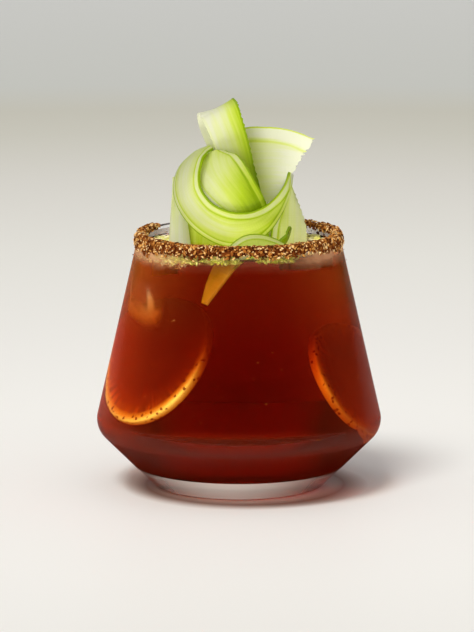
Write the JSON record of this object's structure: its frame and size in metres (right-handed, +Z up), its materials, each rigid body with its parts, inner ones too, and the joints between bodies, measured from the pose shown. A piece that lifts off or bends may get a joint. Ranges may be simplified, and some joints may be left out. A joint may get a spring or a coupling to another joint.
{
  "type": "spiced tomato cocktail in a glass",
  "caption": "Spiced tomato cocktail in a wide-shouldered stemless glass, with a crumb-crusted rim and a knot of shaved celery ribbons",
  "frame": {"origin": "Middle of the glass's foot, on the table", "axes": "+Z up through the glass, the shown side faces -Y, +X to the viewer's right"},
  "size_m": [0.099, 0.099, 0.1351],
  "materials": {
    "clear_glass": "clear, polished",
    "tomato_drink": "dark red, cloudy liquid",
    "brown_spice": "coarse brown flakes",
    "celery": "wet, pale green, translucent"
  },
  "bodies": {
    "root": {"glass": "clear_glass", "drink": "tomato_drink", "spice_rim": "brown_spice", "celery_front_wrap": "celery", "celery_inner_bud": "celery", "celery_folded_tongue": "celery", "celery_wing": "celery", "celery_back_wrap": "celery", "celery_left_tail": "celery", "celery_inner_tail": "celery", "celery_right_tail": "celery", "celery_floating_left": "celery", "celery_front_hump": "celery", "celery_small_curl": "celery"}
  },
  "joints": []
}
